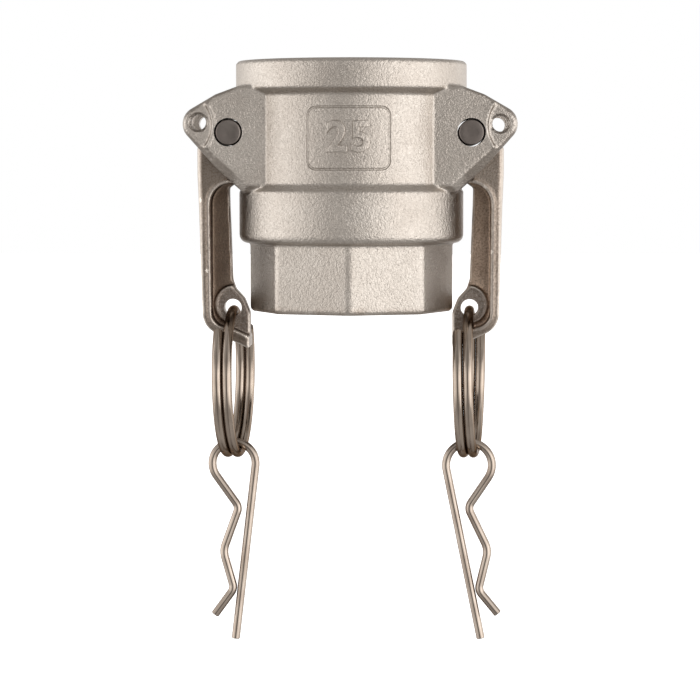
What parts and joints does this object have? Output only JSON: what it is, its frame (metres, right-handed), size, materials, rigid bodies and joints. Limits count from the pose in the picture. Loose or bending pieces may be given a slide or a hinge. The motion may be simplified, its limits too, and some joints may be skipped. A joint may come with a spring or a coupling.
{
  "type": "camlock coupling",
  "caption": "Cam and groove coupler with a socket mouth, threaded octagonal end, swinging cam arms, split pull rings and hairpin safety clips.",
  "frame": {"origin": "centre of the threaded end's flat face, on the coupling's axis", "axes": "+Z along the coupling's axis from the threaded end to the socket mouth; the arm pivots run along Y, the arms are at -X (left) and +X (right)"},
  "size_m": [0.0756, 0.053, 0.1335],
  "materials": {
    "cast_steel": "bead-blasted investment-cast stainless steel, matt, fine grained",
    "arm_steel": "tumbled cast stainless steel, brownish, semi-bright, edges worn bright",
    "pin_steel": "turned stainless steel, dark end faces",
    "ring_wire": "bright drawn stainless spring wire, warm tint",
    "clip_wire": "bright drawn stainless spring wire, warm tint",
    "gasket_rubber": "moulded nitrile rubber, matt black"
  },
  "bodies": {
    "body": {"coupler_body": "cast_steel", "gasket": "gasket_rubber", "pivot_pin_left": "pin_steel", "pivot_pin_right": "pin_steel"},
    "arm_left": {"cam_arm_left": "arm_steel"},
    "arm_right": {"cam_arm_right": "arm_steel"},
    "ring_left": {"pull_ring_left": "ring_wire"},
    "ring_right": {"pull_ring_right": "ring_wire"},
    "clip_left": {"safety_clip_left": "clip_wire"},
    "clip_right": {"safety_clip_right": "clip_wire"}
  },
  "joints": [
    {"name": "arm_left_pivot", "type": "hinge", "parent": "body", "child": "arm_left", "pos_m": [-0.0274, 0, 0.041], "axis": [0, 1, 0], "range_deg": [0, 110]},
    {"name": "arm_right_pivot", "type": "hinge", "parent": "body", "child": "arm_right", "pos_m": [0.0274, 0, 0.041], "axis": [0, -1, 0], "range_deg": [0, 110]},
    {"name": "ring_left_swing", "type": "hinge", "parent": "arm_left", "child": "ring_left", "pos_m": [-0.02725, 0, 0.00085], "axis": [0, 1, 0], "range_deg": [-110, 0]},
    {"name": "ring_right_swing", "type": "hinge", "parent": "arm_right", "child": "ring_right", "pos_m": [0.02725, 0, 0.00085], "axis": [0, -1, 0], "range_deg": [-110, 0]},
    {"name": "clip_left_swing", "type": "hinge", "parent": "ring_left", "child": "clip_left", "pos_m": [-0.02725, 0, -0.03062], "axis": [1, 0, 0], "range_deg": [-60, 60]},
    {"name": "clip_right_swing", "type": "hinge", "parent": "ring_right", "child": "clip_right", "pos_m": [0.02725, 0, -0.03062], "axis": [1, 0, 0], "range_deg": [-60, 60]}
  ],
  "couplings": [
    {"joint": "ring_left_swing", "follows": "arm_left_pivot", "ratio": -1},
    {"joint": "ring_right_swing", "follows": "arm_right_pivot", "ratio": -1}
  ]
}
